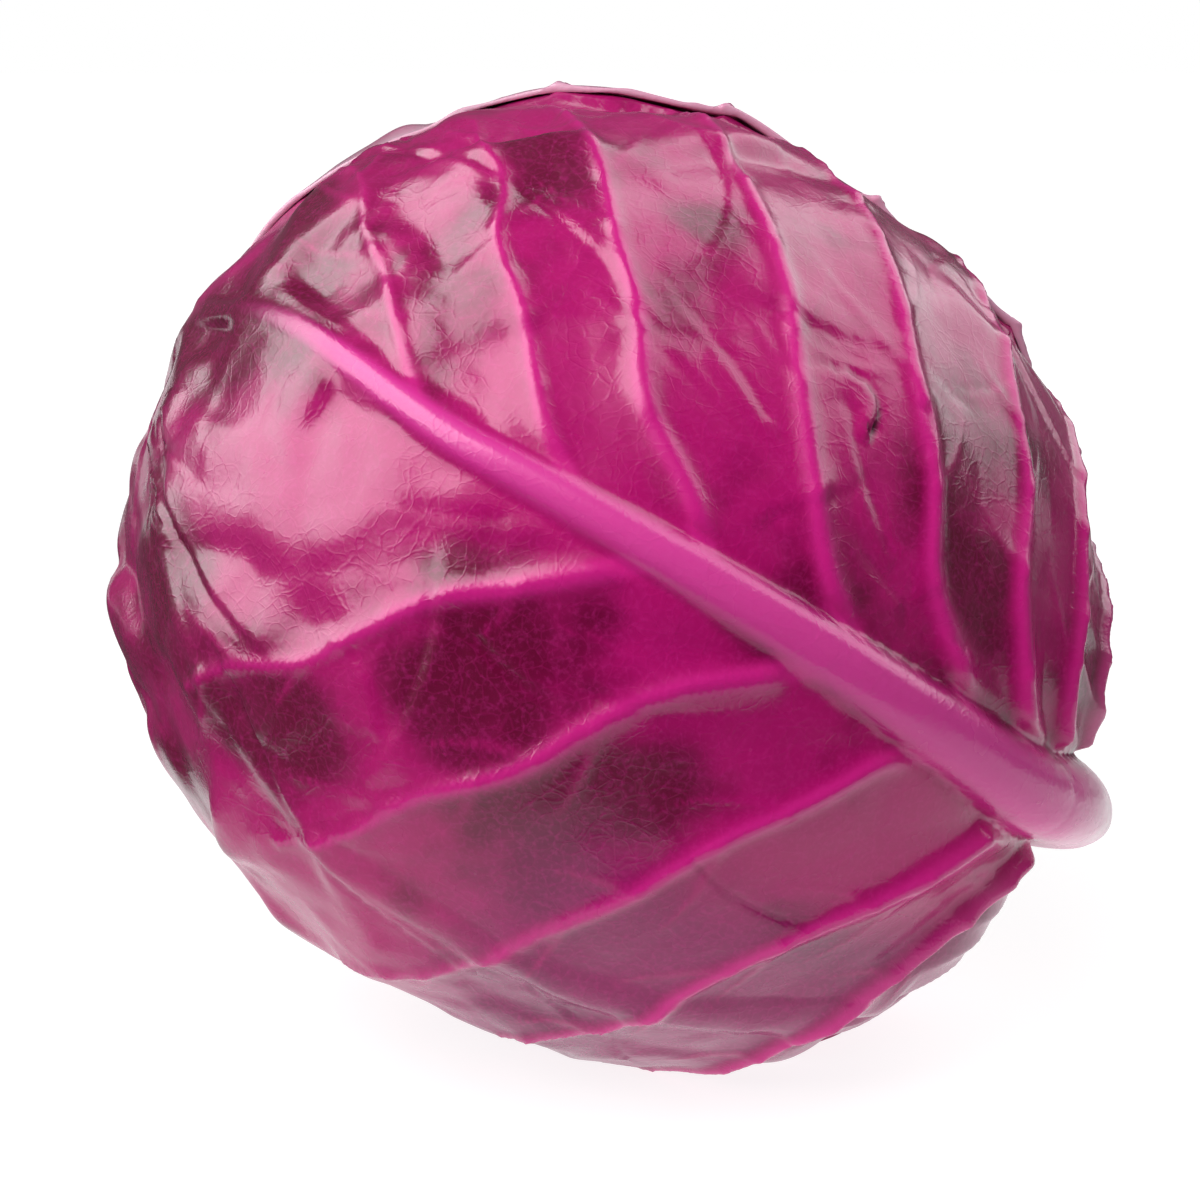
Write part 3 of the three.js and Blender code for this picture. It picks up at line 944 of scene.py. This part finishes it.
# Dark cards that the camera doesn't see and that cast no shadow: name, size, place and turn.
DARK_CARDS = [
    ("card_behind_camera", (1.4, 1.0), (0.0, -0.8, 0.4), (80, 0, 0)),
    ("card_before_camera", (5.0, 2.4), (0.0, -1.33, 0.001), (0, 0, 0)),
    ("card_at_left", (2.4, 3.2), (-1.33, -0.84, 0.002), (0, 0, 0)),
    ("card_at_right", (2.4, 2.4), (1.5, -0.4, 0.003), (0, 0, 0)),
]


def light(name, place, aim, size, watts, adds):
    lamp = bpy.data.lights.new(name, "AREA")
    lamp.shape = "RECTANGLE"
    lamp.size, lamp.size_y = size
    lamp.energy = watts
    lit = bpy.data.objects.new(name, lamp)
    bpy.context.collection.objects.link(lit)
    lit.location = place
    point_at(lit, aim)
    lit.visible_glossy = adds == "shine"
    lit.visible_diffuse = adds == "light"


def point_at(thing, aim):
    towards = Vector(aim) - thing.location
    thing.rotation_euler = towards.to_track_quat("-Z", "Y").to_euler()


def plain(name, colour, roughness):
    m = Nodes(name)
    grain = m.noise(m.place(), 40.0)
    tone = [c * 0.985 for c in colour]
    m.put(m.mix(grain, (*tone, 1), (*colour, 1)), m.shader.inputs["Base Color"])
    m.shader.inputs["Roughness"].default_value = roughness
    return m.material


def floor_material():
    """Matt white that stays white out to the horizon."""
    m = Nodes("pale_floor")
    away = m.add("ShaderNodeVectorMath", {0: m.place()}, operation="LENGTH").outputs["Value"]
    m.shader.inputs["Base Color"].default_value = (0.3, 0.3, 0.3, 1.0)
    m.shader.inputs["Roughness"].default_value = 0.9
    m.shader.inputs["Specular IOR Level"].default_value = 0.1
    m.shader.inputs["Emission Color"].default_value = (1.0, 1.0, 1.0, 1.0)
    m.put(m.ramp(away, FLOOR_NEAR, FLOOR_FAR, *FLOOR_GLOW), m.shader.inputs["Emission Strength"])
    return m.material


def sheet(name, size, place, turn, material):
    mesh = bpy.data.meshes.new(name)
    w, h = size[0] / 2.0, size[1] / 2.0
    mesh.from_pydata([(-w, -h, 0), (w, -h, 0), (w, h, 0), (-w, h, 0)], [], [(0, 1, 2, 3)])
    mesh.materials.append(material)
    thing = bpy.data.objects.new(name, mesh)
    bpy.context.collection.objects.link(thing)
    thing.location = place
    thing.rotation_euler = [math.radians(a) for a in turn]
    return thing


middle = Vector(MIDDLE / 1000.0)
sheet("floor", (12.0, 12.0), (0, 0, 0), (0, 0, 0), floor_material())
card = plain("black_card", (0.015, 0.013, 0.015), 0.9)
for name, size, place, turn in DARK_CARDS:
    flag = sheet(name, size, place, turn, card)
    flag.visible_camera = False
    flag.visible_shadow = False

for name, towards, distance, size, watts, adds in SOFTBOXES:
    light(name, middle + Vector(towards).normalized() * distance, middle, size, watts, adds)

world = bpy.data.worlds.new("studio")
world.use_nodes = True
sky = world.node_tree
seen = sky.nodes.new("ShaderNodeBackground")
seen.inputs["Strength"].default_value = 1.0
seen.inputs["Color"].default_value = (1.0, 1.0, 1.0, 1.0)
sky.nodes["Background"].inputs["Color"].default_value = (1.0, 1.0, 1.0, 1.0)
sky.nodes["Background"].inputs["Strength"].default_value = ROOM_LIGHT
ray = sky.nodes.new("ShaderNodeLightPath")
choose = sky.nodes.new("ShaderNodeMixShader")
sky.links.new(ray.outputs["Is Camera Ray"], choose.inputs["Fac"])
sky.links.new(sky.nodes["Background"].outputs[0], choose.inputs[1])
sky.links.new(seen.outputs[0], choose.inputs[2])
sky.links.new(choose.outputs[0], sky.nodes["World Output"].inputs["Surface"])
bpy.context.scene.world = world
bpy.context.scene.view_settings.view_transform = "Standard"

# ------------------------------------------------------------------ camera
CAMERA_HEIGHT_ANGLE = 12.0
CAMERA_DISTANCE = 0.455
LENS = 85.0
AIM_LEFT = 0.00225        # the head sits a little right of the frame's middle
AIM_DOWN = 0.0024         # and a little above it

tilt = math.radians(CAMERA_HEIGHT_ANGLE)
forward = Vector((0, math.cos(tilt), -math.sin(tilt)))
upward = Vector((0, math.sin(tilt), math.cos(tilt)))
aim = middle - Vector((AIM_LEFT, 0, 0)) - upward * AIM_DOWN
lens = bpy.data.cameras.new("camera")
lens.lens = LENS
lens.clip_start = 0.01
camera = bpy.data.objects.new("camera", lens)
bpy.context.collection.objects.link(camera)
camera.location = aim - forward * CAMERA_DISTANCE
point_at(camera, aim)
bpy.context.scene.camera = camera
